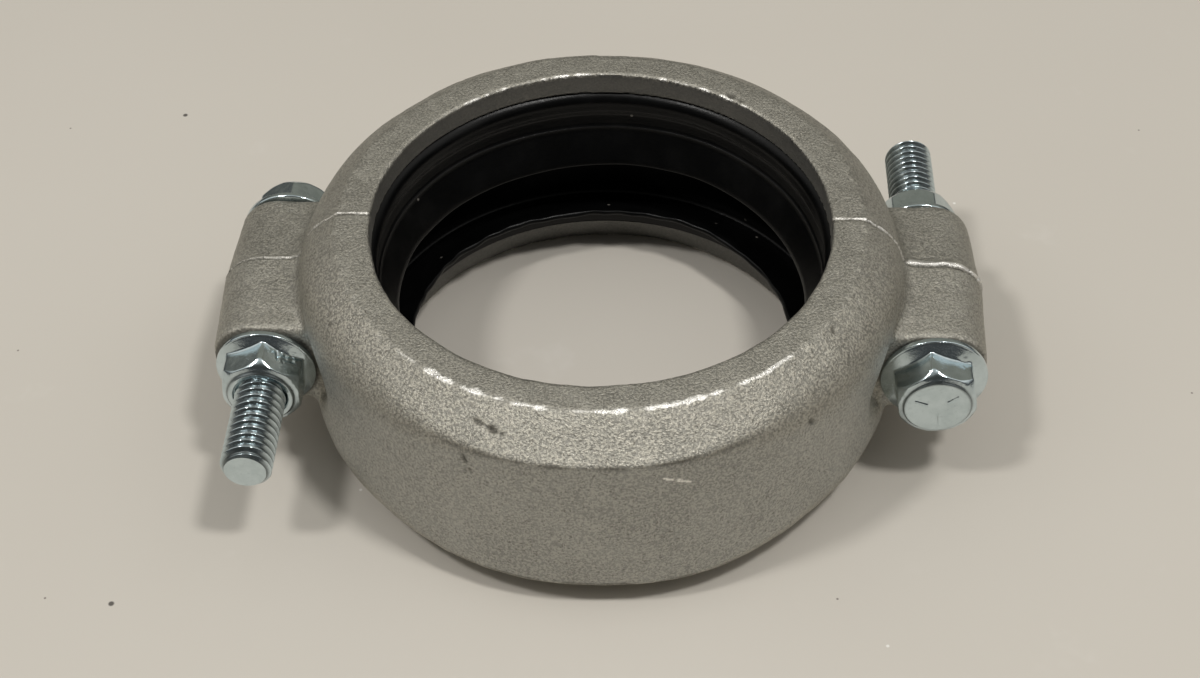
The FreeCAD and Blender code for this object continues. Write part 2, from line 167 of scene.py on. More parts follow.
class Finish:
    """A material, or a world, whose nodes are added by expressions and by one method."""

    def __init__(self, name, world=False):
        self.look = (bpy.data.worlds if world else bpy.data.materials).new(name)
        self.look.use_nodes = True
        self.tree = self.look.node_tree
        self.shader = self.tree.nodes["Background" if world else "Principled BSDF"]

    def plug(self, socket, value):
        """Link a wire to a socket, or set the socket to a value."""
        if isinstance(value, Wire):
            self.tree.links.new(value.socket, socket)
        elif isinstance(value, tuple) and len(value) == 3 and socket.type == "RGBA":
            socket.default_value = (*value, 1)
        else:
            socket.default_value = value

    def node(self, kind, settings=None, values=None, output=0):
        """Add any node: settings are set first, then sockets by number or name."""
        made = self.tree.nodes.new(kind)
        for name, value in (settings or {}).items():
            setattr(made, name, value)
        for key, value in (values or {}).items():
            self.plug(made.inputs[key], value)
        return Wire(self, made.outputs[output])

    def millimetres(self):
        """Where a point of the part is, in millimetres."""
        place = self.node("ShaderNodeTexCoord", output="Object")
        return self.node("ShaderNodeVectorMath", {"operation": "SCALE"}, {0: place, "Scale": 1000})

    def noise(self, place, size, detail=2.0, roughness=0.5):
        """Cloudy noise from 0 to 1, with lumps about that many millimetres across."""
        values = {"Vector": place, "Scale": 1 / size, "Detail": detail, "Roughness": roughness}
        return self.node("ShaderNodeTexNoise", None, values)

    def mix(self, factor, one, other):
        """A colour between two colours."""
        return self.node("ShaderNodeMix", {"data_type": "RGBA"}, {0: factor, 6: one, 7: other}, 2)

    def measured(self, name):
        """A number that was stored at every vertex."""
        return self.node("ShaderNodeAttribute", {"attribute_name": name}, output="Fac")

    def bump(self, height, depth):
        """A normal pushed by a height from 0 to 1, which stands for that depth in millimetres."""
        return self.node("ShaderNodeBump", None, {"Distance": depth * MM, "Height": height})

    def dress(self, **sockets):
        """Set the shader's sockets. Base_Color stands for Base Color."""
        for name, value in sockets.items():
            self.plug(self.shader.inputs[name.replace("_", " ")], value)
        print("finish", self.look.name, "with", len(self.tree.nodes), "nodes")
        return self.look

# %% [markdown]
# ## The room
# Bright steel shows what stands round it, so an even world would make it look like plastic. This
# room has a pale band from side to side over the table, brightest at its two ends. It is dim at the
# back and dark in front, where somebody stands to look at the coupling. The steps are soft, so the
# castings and the table hardly notice them.

# %% Light the room
def light_room():
    """A world whose brightness depends on the direction."""
    finish = Finish("room", world=True)
    way = finish.node("ShaderNodeTexCoord", output="Generated")
    side, back, height = (finish.node("ShaderNodeSeparateXYZ", None, {0: way}, axis) for axis in "XYZ")
    ends = side.maths("ABSOLUTE", side).between(0.3, 0.6)
    band = finish.mix(ends, (0.45, 0.445, 0.43), (0.8, 0.785, 0.755))
    rest = finish.mix(back.between(-0.3, 0.3), (0.05, 0.05, 0.045), (0.25, 0.24, 0.2))
    colour = finish.mix(back.maths("ABSOLUTE", back).between(0.3, 0.62), band, rest)
    colour = finish.mix(height.between(0.1, 0.5), (0.07, 0.07, 0.07), colour)
    bpy.context.scene.world = finish.dress(Color=colour)


light_room()

# %% [markdown]
# ## The table
# The coupling lies on a pale, slightly glossy table top. One large plane is enough. Its colour is
# nearly even, with faint clouds, because a perfectly even floor looks computer-made.

# %% Lay the table
TABLE_REACH = 3.0
DUST = [     # how far apart the specks lie and how wide they are, in millimetres, and their colour
    (170, 0.7, (0.12, 0.11, 0.1)),
    (74, 0.3, (0.25, 0.22, 0.2)),
    (88, 0.4, (0.8, 0.78, 0.74)),
]


def table_finish():
    """Pale paint with faint clouds, smudges and a few specks of dust."""
    finish = Finish("table_top")
    place = finish.millimetres()
    clouds = finish.noise(place, 160, 3).between(0.3, 0.7)
    colour = finish.mix(clouds, (0.585, 0.55, 0.492), (0.605, 0.57, 0.512))
    smudges = finish.noise(place, 26, 4, 0.7).between(0.62, 0.8)
    colour = finish.mix(smudges * 0.5, colour, (0.66, 0.63, 0.58))
    for spacing, size, ink in DUST:
        cells = {"Vector": place, "Scale": 1 / spacing}
        speck = finish.node("ShaderNodeTexVoronoi", {"voronoi_dimensions": "2D"}, cells, "Distance")
        colour = finish.mix(1 - (speck * spacing).between(size * 0.5, size), colour, ink)
    grain = finish.noise(place, 0.8, 3, 0.6)
    return finish.dress(Base_Color=colour, Roughness=0.38 + grain * 0.1, Specular_IOR_Level=0.35)


table = bpy.data.meshes.new("table")
corners = [(x * TABLE_REACH, y * TABLE_REACH, FLOOR_Z) for x, y in ((-1, -1), (1, -1), (1, 1), (-1, 1))]
table.from_pydata(corners, [], [(0, 1, 2, 3)])
table.materials.append(table_finish())
table_object = bpy.data.objects.new("table", table)
bpy.context.scene.collection.objects.link(table_object)
print("table at height", round(FLOOR_Z, 5))

# %% [markdown]
# ## Meshes from arrays
# Every piece below is worked out as numpy arrays of points and faces. One helper turns them into a
# Blender mesh in metres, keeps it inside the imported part's box, and stores extra numbers at the
# vertices for the materials to read.

# %% Make a piece from points and faces
def make_piece(name, points, faces, material, body, node, marks=None):
    """Make a smooth-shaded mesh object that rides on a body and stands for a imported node."""
    low, high = np.array(cad_box)
    metres = np.clip(np.asarray(points) * MM, low, high)
    mesh = bpy.data.meshes.new(name)
    mesh.from_pydata(metres.tolist(), [], [tuple(face) for face in faces])
    mesh.shade_smooth()
    for label, values in (marks or {}).items():
        layer = mesh.attributes.new(label, "FLOAT", "POINT")
        layer.data.foreach_set("value", np.asarray(values, np.float32))
    mesh.materials.append(material)
    piece = bpy.data.objects.new(name, mesh)
    bpy.context.scene.collection.objects.link(piece)
    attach(piece, body)
    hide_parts(node)
    print(name, "has", len(metres), "vertices and", len(mesh.polygons), "faces")


def ripples(points, size, seed, count=28):
    """Smooth random waves of about unit height, with bumps of that many millimetres."""
    chance = np.random.default_rng(seed)
    heading = chance.normal(size=(count, 3))
    heading /= np.linalg.norm(heading, axis=1)[:, None]
    turns = math.tau / (size * chance.uniform(1.2, 2.8, count))
    phase = chance.uniform(0, math.tau, count)
    return np.sin((points @ heading.T) * turns + phase).sum(1) / math.sqrt(count / 2)


def near(distance, width):
    """1 where a distance is zero, fading to 0 over about that width."""
    return np.exp(-(distance / width) ** 2)

# %% [markdown]
# ## The casting as a distance field
# A casting has no sharp joins: the bolt pads melt into the ring, and every corner is rounded.
# It could be built with booleans and bevels, but those break where fillets meet. Here the form is
# a field instead, a number for every point in space that is negative inside the metal. Fields
# join with a smooth minimum and cut with a smooth maximum, and the softness is the fillet's size.

# %% The field of one half
BORE = 43.0
CHANNEL = 51.4
CHANNEL_HALF = 17.2
FACE = 21.93
COLLAR = 49.2
WALL = 57.0
WALL_HALF = 15.93
BOLT_X = 62.5
SEAT = 18.5
PAD_REACH = 73.0
PAD_HALF = 10.3
PAD_ROUND = 8.0
PAD_DRAFT = math.tan(math.radians(2.5))
HOLE = 5.36
RELIEF = 12.2
PARTING = 0.05
END_ROUND = 0.45
WALL_ROUND = 0.25
SIDE_ROUND = 18
RELIEF_ROUND = 1.3
RELIEF_EDGE = 1.0
SEAT_ROUND = 1.8
SEAT_FILLET = 1.2
RING_FILLET = 2.0
CHANNEL_ROUND = 3.0
KEY_ROUND = 0.9
HOLE_ROUND = 0.6
PARTING_ROUND = 0.3
CONE_LENGTH = math.hypot(WALL - COLLAR, FACE - WALL_HALF)
CONE_OUT = (FACE - WALL_HALF) / CONE_LENGTH
CONE_UP = (WALL - COLLAR) / CONE_LENGTH


def smooth_max(one, other, soft):
    """The larger of two fields, with the corner between them rounded."""
    close = np.maximum(soft - np.abs(one - other), 0) / soft
    return np.maximum(one, other) + close * close * soft / 4


def smooth_min(one, other, soft):
    """The smaller of two fields, with the corner between them rounded."""
    return -smooth_max(-one, -other, soft)


def half_ring(points):
    """Field of the half with its parting face at Y = 0 and its wall towards -Y.

    The cone and the wall meet in a crisp edge in front, which gets softer towards the pads.
    """
    x, y, z = points
    radius = np.hypot(x, y)
    height = np.abs(z)
    depth = -y
    cone = (radius - COLLAR) * CONE_OUT + (height - FACE) * CONE_UP
    beside = np.clip(0.975 - depth / np.maximum(radius, 1), 0, 0.26)
    ring = smooth_max(height - FACE, cone, END_ROUND)
    ring = smooth_max(ring, radius - WALL, WALL_ROUND + SIDE_ROUND * beside)

    beside_bolt = np.hypot(np.abs(x) - BOLT_X, z)
    relief = smooth_max(beside_bolt - RELIEF, SEAT - depth, RELIEF_ROUND)
    ring = smooth_max(ring, -relief, RELIEF_EDGE)

    out = np.abs(x) - PAD_REACH + depth * PAD_DRAFT + PAD_ROUND
    up = height - PAD_HALF + depth * PAD_DRAFT + PAD_ROUND
    corner = np.hypot(np.maximum(out, 0), np.maximum(up, 0))
    pad = corner + np.minimum(np.maximum(out, up), 0) - PAD_ROUND
    pad = smooth_max(pad, depth - SEAT, SEAT_ROUND)
    fillet = SEAT_FILLET + RING_FILLET * np.clip((SEAT - 1 - depth) / 4, 0, 1)
    body = smooth_min(ring, pad, fillet)

    channel = smooth_max(radius - CHANNEL, height - CHANNEL_HALF, CHANNEL_ROUND)
    body = smooth_max(body, -np.minimum(radius - BORE, channel), KEY_ROUND)
    body = smooth_max(body, HOLE - beside_bolt, HOLE_ROUND)
    return smooth_max(body, y + PARTING, PARTING_ROUND)

# %% [markdown]
# ## A skin over the field
# The mesh is found where the field crosses zero. Marching cubes is the usual way, but surface nets
# are shorter: each small cell that the surface passes through gets one vertex, at the mean of its
# crossings, and each grid line that the surface crosses gets one face. A few steps along the
# field's slope then put every vertex exactly on the surface.

# %% Skin a field
def skin(field, low, high, step):
    """Points and four-sided faces of the surface where a field is zero, inside a box."""
    axes = [np.arange(a, b + step, step) for a, b in zip(low, high)]
    values = field(np.meshgrid(*axes, indexing="ij"))
    strides = np.array([values.shape[1] * values.shape[2], values.shape[2], 1])
    faces = []
    crossings = []
    for axis in range(3):
        first = np.moveaxis(values, axis, 0)[:-1]
        second = np.moveaxis(values, axis, 0)[1:]
        change = np.moveaxis((first < 0) != (second < 0), 0, axis)
        spots = np.argwhere(change)
        spots = spots[(spots > 0).all(1) & (spots < np.array(values.shape) - 1).all(1)]
        start = values[tuple(spots.T)]
        end = values[tuple((spots + np.eye(3, dtype=int)[axis]).T)]
        along = (start / (start - end))[:, None] * np.eye(3)[axis]
        one = np.eye(3, dtype=int)[(axis + 1) % 3]
        two = np.eye(3, dtype=int)[(axis + 2) % 3]
        around = np.stack([spots, spots - one, spots - one - two, spots - two], axis=1) @ strides
        around[start > 0] = around[start > 0][:, ::-1]
        faces.append(around)
        crossings.append(np.repeat(spots + along, 4, axis=0))
    cells = np.concatenate(faces).ravel()
    places = np.concatenate(crossings)
    which = np.unique(cells, return_inverse=True)[1]
    count = np.bincount(which)
    points = np.stack([np.bincount(which, places[:, k]) / count for k in range(3)], axis=1)
    points = points * step + np.array([axis[0] for axis in axes])
    return points, which.reshape(-1, 4)


def slope(field, points, reach=0.02):
    """Direction in which a field grows, at each point."""
    moves = np.eye(3) * reach
    changes = [field((points + move).T) - field((points - move).T) for move in moves]
    return np.stack(changes, axis=1) / (2 * reach)


def settle(field, points, rounds=3):
    """Move points onto the zero of a field, and give the outward directions there."""
    for _ in range(rounds):
        grown = slope(field, points)
        points = points - grown * (field(points.T) / (grown ** 2).sum(1))[:, None]
    grown = slope(field, points)
    return points, grown / np.linalg.norm(grown, axis=1)[:, None]


STEP = 0.48
shell, shell_faces = skin(half_ring, (-74, -58, -22.9), (74, 1.2, 22.9), STEP)
shell, outward = settle(half_ring, shell)
print("skin of one half:", len(shell), "vertices", len(shell_faces), "faces")

# %% [markdown]
# ## The gasket channel
# The channel inside a half is hidden by the gasket until the coupling is opened, so it needs no
# fine mesh. Its faces are taken off the skin, and a coarse strip turned about the pipe axis takes
# their place. That leaves the fine mesh for what the eye reaches.

# %% Swap the channel for a coarse strip
def rounded_path(corners, spacing):
    """Points along a chain of straight sides whose corners (a, b, radius) are rounded."""
    path = []
    for i, (a, b, radius) in enumerate(corners):
        here = np.array([a, b], float)
        before = np.array(corners[i - 1][:2], float) - here
        after = np.array(corners[(i + 1) % len(corners)][:2], float) - here
        before /= np.linalg.norm(before)
        after /= np.linalg.norm(after)
        half = math.acos(np.clip(before @ after, -1, 1)) / 2
        if radius == 0:
            path.append(here)
            continue
        centre = here + (before + after) / np.linalg.norm(before + after) * radius / math.sin(half)
        start = here + before * radius / math.tan(half) - centre
        sweep = math.pi - 2 * half
        sweep = math.copysign(sweep, before[1] * after[0] - before[0] * after[1])
        for share in np.linspace(0, 1, max(3, int(radius * abs(sweep) / spacing) + 2)):
            turn = sweep * share
            path.append(centre + (start[0] * math.cos(turn) - start[1] * math.sin(turn),
                                  start[0] * math.sin(turn) + start[1] * math.cos(turn)))
    return np.array(path)


def refine(path, spacing, closed):
    """Add points so that no side of a path is longer than the spacing."""
    ends = np.roll(path, -1, axis=0) if closed else path[1:]
    fine = []
    for start, end in zip(path, ends):
        count = max(1, math.ceil(np.linalg.norm(end - start) / spacing))
        fine += [start + (end - start) * k / count for k in range(count)]
    if not closed:
        fine.append(path[-1])
    return np.array(fine)


def turned(radius, angle, height, closed_rows, closed_columns):
    """Points and four-sided faces of a grid given by radius, angle and height."""
    radius, angle, height = np.broadcast_arrays(radius, angle, height)
    rows, columns = radius.shape
    points = np.stack([radius * np.cos(angle), radius * np.sin(angle), height], axis=2).reshape(-1, 3)
    row = np.arange(rows if closed_rows else rows - 1)[:, None]
    column = np.arange(columns if closed_columns else columns - 1)[None, :]
    next_row = (row + 1) % rows
    next_column = (column + 1) % columns
    faces = np.stack([row * columns + column, next_row * columns + column,
                      next_row * columns + next_column, row * columns + next_column], axis=2)
    return points, faces.reshape(-1, 4)


middle = shell[shell_faces].mean(1)
middle_radius = np.hypot(middle[:, 0], middle[:, 1])
hidden = (middle_radius > BORE + 0.5) & (middle_radius < CHANNEL + 0.3)
hidden &= (np.abs(middle[:, 2]) < CHANNEL_HALF + 0.3) & (middle[:, 1] < -0.6)
kept_faces = shell_faces[~hidden]
used, renumbered = np.unique(kept_faces, return_inverse=True)
shell = shell[used]
outward = outward[used]
shell_faces = renumbered.reshape(-1, 4)

strip = refine(rounded_path([
    (BORE + 0.2, CHANNEL_HALF, 0), (CHANNEL, CHANNEL_HALF, 2.6), (CHANNEL, -CHANNEL_HALF, 2.6),
    (BORE + 0.2, -CHANNEL_HALF, 0)], 0.8), 2.0, closed=False)
sweep = np.linspace(math.pi + 0.002, math.tau - 0.002, 90)[:, None]
strip_points, strip_faces = turned(strip[:, 0], sweep, strip[:, 1], False, False)
print("channel strip:", len(strip_faces), "faces instead of", int(hidden.sum()))

# %% [markdown]
# ## Marks of the foundry
# No two castings are alike. The mould leaves the walls slightly wavy, the corners are broken by
# blasting and shine where hands and pipes rub them, metal squeezed into the joint of the mould
# leaves a thin raised line, and there are pits and nicks. These move the vertices in or out by a
# few tenths of a millimetre. Rims, corners and raised lines are also marked to be painted bright,
# partly as rubbed metal and partly as painted highlight where the lamps glint. Nicks, grooves, the
# crease under the cone and the seat round each flange are marked for painted shade. The sand
# grain is finer than the mesh, so it is left to the material.

# %% Wear, ridges and nicks
# Reach of the painted shade round each flange on its seat, in millimetres.
FLANGE_SHADE = 10.3


def segment_distance(points, start, end):
    """Distance of points from a straight line between two places."""
    start = np.array(start, float)
    run = np.array(end, float) - start
    share = np.clip((points - start) @ run / (run @ run), 0, 1)
    return np.linalg.norm(points - start - share[:, None] * run, axis=1)


def crease(points, faces, normals):
    """How much each vertex stands out from its neighbours: over 0 on corners, under 0 in hollows."""
    total = np.zeros_like(points)
    count = np.zeros(len(points))
    for one in range(4):
        start = faces[:, one]
        end = faces[:, (one + 1) % 4]
        for a, b in ((start, end), (end, start)):
            for k in range(3):
                total[:, k] += np.bincount(a, points[b, k], len(points))
            count += np.bincount(a, minlength=len(points))
    return ((points - total / np.maximum(count, 1)[:, None]) * normals).sum(1)


def spread(values, faces, rounds):
    """Blur a number over the mesh."""
    for _ in range(rounds):
        face_mean = values[faces].mean(1)
        total = np.zeros_like(values)
        count = np.zeros_like(values)
        for k in range(4):
            total += np.bincount(faces[:, k], face_mean, len(values))
            count += np.bincount(faces[:, k], minlength=len(values))
        values = total / np.maximum(count, 1)
    return values


def foundry_marks(points, normals, seed, nicks, ridges, wear_and_highlight):
    """How far each vertex moves outwards in millimetres, its rubbing and painted highlight, and its
    painted shade.

    A nick is (start, end, width, depth). The ridges along the parting plane are given for each
    side, as (height, width) on the end face, on the ring and on the pad. The last argument gives the
    rubbing and painted highlight of the outer rim and of the bore's lip. A depth or height under 0
    turns the mark inside out.
    """
    radius = np.hypot(points[:, 0], points[:, 1])
    height = np.abs(points[:, 2])
    depth = -points[:, 1]
    move = 0.07 * ripples(points, 16, seed) + 0.035 * ripples(points, 5, seed + 1)
    move += 0.014 * ripples(points, 1.7, seed + 2)
    from_rim = np.hypot(radius - COLLAR, height - FACE)
    from_lip = np.hypot(radius - BORE, height - FACE)
    move += near(from_rim, 1.3) * (0.06 * ripples(points, 1.4, seed + 3) - 0.04)
    move += near(from_lip, 1.0) * (0.03 * ripples(points, 3.0, seed + 3) - 0.03)
    under = near(radius - WALL, 0.6) * near(height - WALL_HALF + 0.3, 0.35)
    under *= np.clip(depth / 20 - 1, 0, 1) * np.clip(0.9 + 0.5 * ripples(points, 3, seed + 5), 0, 1.4)
    move -= 0.1 * under

    ragged = np.clip(0.95 + 0.3 * ripples(points, 2.0, seed + 4), 0.3, 1.5)
    # The span on the front of each half where rim and lip are painted bright: partly rubbed metal,
    # partly painted highlight where the lamps glint.
    handled_and_lit = np.clip(depth / radius * 7 - 4.6, 0, 1) * (1 - 0.7 * near(points[:, 0] + 5, 6))
    splash = 0.12 * ripples(points, 1.3, seed + 8)
    rubbed_and_highlight = wear_and_highlight[0] * near(from_rim + splash, 0.5) + wear_and_highlight[1] * near(from_lip + splash, 0.45)
    rubbed_and_highlight *= ragged * handled_and_lit
    around_bolt = np.hypot(np.abs(points[:, 0]) - BOLT_X, points[:, 2])
    # Painted shade: a dark line in the crease under the cone in front, and a dark ring on the seat just
    # round each flange.
    shade_marks = 0.6 * under + np.clip((FLANGE_SHADE - around_bolt) / 0.6, 0, 1) * (depth > SEAT - 0.6)

    on_end = height > FACE - 0.4
    on_ring = ~on_end & (radius < WALL + 1)
    on_pad = (radius >= WALL + 1) & (around_bolt > HOLE + 1.2)
    side = 1 - np.abs(normals[:, 1]) ** 4
    for way, heights in ridges.items():
        for region, (tall, wide) in zip((on_end, on_ring, on_pad), heights):
            where = side * region * (points[:, 0] * way > 0) * (radius > BORE + 0.5)
            ridge = where * ragged * np.clip(1.6 - depth / wide, 0, 1)
            move += tall * ridge
            # Raised parting lines are painted bright, as rubbed metal and as painted highlight; sunken
            # ones get painted shade.
            rubbed_and_highlight += ridge * min(tall * 4, 1)
            shade_marks += ridge * (tall < 0)

    for start, end, width, deep in nicks:
        nick = near(segment_distance(points, start, end), width)
        nick *= np.clip(0.7 + 0.5 * ripples(points, 1.1, seed + 6), 0, 1.3)
        move -= deep * nick
        # Deep nicks get painted shade and no bright paint; raised ones are painted bright, partly as
        # painted highlight.
        shade_marks += nick * (deep > 0.1)
        rubbed_and_highlight += nick * (deep < 0) - 2 * nick * (deep > 0.1)
    inner = (radius < CHANNEL) & (height < CHANNEL_HALF + 0.2)
    return np.where(inner, 0, move), rubbed_and_highlight, shade_marks

# %% [markdown]
# ## Cast and blasted aluminium
# Bead-blasted aluminium is grey and dull at first sight, and full of tiny sparks close up. The
# finish is a rough metal whose base colour drifts between warm greys, with a grain bump at two
# sizes. Light grain speckles painted into the colour are partly grain tone and partly painted
# glints. What differs from place to place is stored on the mesh. Corners that stand out are
# painted brighter and made smoother, partly as rubbed metal and partly as painted highlight.
# Hollows, creases and nicks get painted shade. The bore is painted darker, for the shade in it and
# the dark it reflects. The front of the cone gets more painted glints, and the straight wall is
# tinted cooler, a painted reflection of the shaded table round it.

# %% Casting finish
def casting_finish(name, seed):
    """Blasted aluminium. The seed moves its pattern, so that no two castings share one."""
    finish = Finish(name)
    shift = {0: finish.millimetres(), 1: (seed * 91.0, 17.0, 5.0)}
    place = finish.node("ShaderNodeVectorMath", {"operation": "ADD"}, shift)
    edge_wear_and_highlight = finish.measured("edge_wear_and_highlight")
    painted_shade = finish.measured("painted_shade")
    bore = finish.measured("bore")
    cone_glint = finish.measured("cone_glint")
    wall = finish.measured("wall")
    clouds = finish.noise(place, 14, 3, 0.6).between(0.3, 0.7)
    patches = finish.noise(place, 3.0, 3, 0.6).between(0.32, 0.68)
    grain = finish.noise(place, 0.48, 3, 0.65)
    sand = finish.noise(place, 0.22, 2, 0.6)
    specks = finish.noise(place, 0.45, 1, 0.5).between(0.6, 0.72)
    colour = finish.mix(clouds * 0.5 + patches * 0.5, (0.275, 0.267, 0.235), (0.36, 0.35, 0.31))
    # Light speckles of the grain: partly grain tone, partly painted glints, strongest on the front of
    # the cone.
    grain_and_glint = grain.between(0.44, 0.58) * (0.5 + cone_glint * 0.3)
    colour = finish.mix(grain_and_glint, colour, (0.60, 0.57, 0.49))
    # Painted reflection: the straight wall is tinted cooler, for the shaded table it reflects.
    shaded_reflection_tint = {0: wall, 6: colour, 7: (1.07, 1.1, 1.16)}
    multiply = {"data_type": "RGBA", "blend_type": "MULTIPLY"}
    colour = finish.node("ShaderNodeMix", multiply, shaded_reflection_tint, 2)
    colour = finish.mix(specks * 0.6, colour, (0.14, 0.13, 0.11))
    # Marked corners and rims are painted near white: partly rubbed metal, partly painted highlight.
    rubbed_and_highlight = (edge_wear_and_highlight + grain - 0.5).between(0.3, 0.9)
    colour = finish.mix(rubbed_and_highlight * 0.9, colour, (0.95, 0.93, 0.88))
    # Painted shade in hollows, creases and nicks and round the flanges.
    colour = finish.mix(painted_shade * 0.7, colour, (0.10, 0.095, 0.08))
    # The bore is painted darker, for the shade in it and the dark it reflects; its bump is also made
    # smaller.
    colour = finish.mix(bore * 0.8, colour, (0.17, 0.17, 0.165))
    sparks = finish.noise(place, 0.5, 1, 0.5).between(0.3, 0.44)
    rough = 0.36 + patches * 0.06 + sparks * 0.14 + painted_shade * 0.15 - rubbed_and_highlight * 0.16 - cone_glint * 0.015
    height = (grain * 0.65 + sand * 0.35) * (1 - bore * 0.7)
    return finish.dress(Base_Color=colour, Metallic=0.9, Roughness=rough,
                        Normal=finish.bump(height, 0.3))

# %% [markdown]
# ## Both halves
# The halves come from the same pattern, so they share the skin. The rear one is turned half way
# round the pipe axis, and each has marks of its own.

# %% Cast the halves
def zones(points, normals, glint_share):
    """Where a casting is bore, cone or straight wall. The cone's front is marked for painted glint."""
    radius = np.hypot(points[:, 0], points[:, 1])
    tilt = np.abs(normals[:, 2])
    bore = np.clip((BORE + 1.2 - radius) / 0.6, 0, 1) * (np.abs(points[:, 2]) < FACE - 0.5)
    cone = np.clip(tilt * 3 - 0.9, 0, 1) * (1 - 0.8 * np.clip(tilt * 10 - 8.6, 0, 1))
    cone *= np.clip(WALL + 1 - radius, 0, 1) * np.clip(-points[:, 1] / 20 - 0.2, 0, 1)
    wall = np.clip(1 - 3 * tilt, 0, 1) * np.clip((radius - WALL + 1) / 0.6, 0, 1)
    return {"bore": bore, "cone_glint": cone * glint_share, "wall": wall}


def cast_half(name, body, node, seed, rear, nicks, ridges, wear_and_highlight):
    """Make one casting with its own marks. The rear one is turned half way round the pipe axis."""
    move, rubbed_and_highlight, shade_marks = foundry_marks(shell, outward, seed, nicks, ridges, wear_and_highlight)
    moved = shell + outward * move[:, None]
    bend = crease(moved, shell_faces, outward) / STEP
    # Corners that stand out are painted brighter: partly rubbed metal, partly painted highlight.
    edge_wear_and_highlight = spread(np.clip(bend * 3.2 - 0.18, 0, 1), shell_faces, 1)
    edge_wear_and_highlight = np.clip(np.maximum(edge_wear_and_highlight, rubbed_and_highlight) + np.minimum(rubbed_and_highlight, 0), 0, 1)
    # Hollows and the marked places get painted shade.
    painted_shade = np.clip(spread(np.clip(-bend * 3.0 - 0.2, 0, 1), shell_faces, 2) + shade_marks * 1.2, 0, 1)
    points = np.concatenate([moved, strip_points])
    faces = np.concatenate([shell_faces, strip_faces + len(moved)])
    if rear:
        points = points * (-1, -1, 1)
    # The rear half's cone gets less painted glint.
    marks = {"edge_wear_and_highlight": edge_wear_and_highlight, "painted_shade": painted_shade, **zones(moved, outward, 0.3 if rear else 1)}
    hidden_marks = np.zeros(len(strip_points))
    marks = {label: np.concatenate([values, hidden_marks]) for label, values in marks.items()}
    make_piece(name, points, faces, casting_finish(name, seed), body, node, marks)


front_nicks = [
    ((-20.3, -48.9, 19.1), (-19.6, -49.2, 19.0), 0.3, 0.4),
    ((-18.9, -49.9, 18.7), (-17.1, -50.6, 18.6), 0.42, 0.7),
    ((-16.6, -51.0, 18.5), (-15.2, -51.5, 18.4), 0.32, 0.5),
    ((-16.5, -51.5, 18.2), (-15.4, -51.9, 18.1), 0.25, -0.1),
    ((-48.5, -23.6, 18.4), (-48.3, -25.2, 17.9), 0.45, 0.8),
    ((41.8, -28.1, 21.0), (41.9, -28.9, 20.9), 0.5, 0.6),
    ((38.0, -42.5, 12.6), (38.2, -42.4, 12.1), 0.6, 0.4),
    ((-22.1, -52.6, 14.0), (-20.9, -53.1, 10.8), 0.35, 0.3),
    ((11.7, -55.8, 12.6), (17.0, -54.4, 10.4), 0.4, -0.12),
]
rear_nicks = [
    ((-25.2, -36.4, 21.9), (-24.6, -36.9, 21.9), 0.6, 0.6),
    ((-27.6, -34.0, 21.9), (-25.2, -36.4, 21.9), 0.45, 0.3),
    ((30.0, -46.0, 17.5), (31.5, -45.0, 17.0), 0.5, 0.5),
]
front_ridges = {
    -1: ((0.1, 0.4), (0.02, 0.3), (0.05, 0.3)),
    1: ((0.05, 0.3), (-0.1, 0.3), (-0.2, 0.35)),
}
rear_ridges = {
    1: ((0.25, 0.5), (0.08, 0.3), (0.15, 0.35)),
    -1: ((0.28, 0.6), (0.2, 0.4), (0.5, 1.3)),
}
cast_half("casting_front", "front", "housing_front", 11, False, front_nicks, front_ridges, (1.3, 0.1))
cast_half("casting_rear", "rear", "housing_rear", 23, True, rear_nicks, rear_ridges, (0.1, 1.2))

# %% [markdown]
# ## The gasket
# The seal is moulded rubber: a web outside, a bead at each end that closes the gap to the key, and
# a thin lip under each bead that leans on its pipe. Its section is a closed path of straight sides
# with rounded corners, turned right round the axis. A plain turn would look like metal, so the
# free lips are made to wander a few tenths of a millimetre, as soft rubber does. A few pale crumbs
# stick to it.

# %% Mould the gasket
CRUMB_SPACING = 7


def rubber_finish():
    """Black rubber with a faint film, fine dust and a few crumbs."""
    finish = Finish("rubber")
    place = finish.millimetres()
    dust = finish.noise(place, 0.5, 3, 0.6).between(0.64, 0.78)
    film = finish.noise(place, 9, 3, 0.6).between(0.4, 0.75)
    colour = finish.mix(film * 0.6, (0.0016, 0.0017, 0.0018), (0.0035, 0.0036, 0.0036))
    colour = finish.mix(dust * 0.3, colour, (0.02, 0.019, 0.017))
    cells = {"Vector": place, "Scale": 1 / CRUMB_SPACING}
    crumb = finish.node("ShaderNodeTexVoronoi", None, cells, "Distance") * CRUMB_SPACING
    colour = finish.mix(0.6 - crumb.between(0.2, 0.4) * 0.6, colour, (0.3, 0.28, 0.25))
    skin_grain = finish.noise(place, 0.35, 3, 0.6)
    return finish.dress(Base_Color=colour, Roughness=0.3 + film * 0.1, Specular_IOR_Level=0.24,
                        Normal=finish.bump(skin_grain, 0.04))


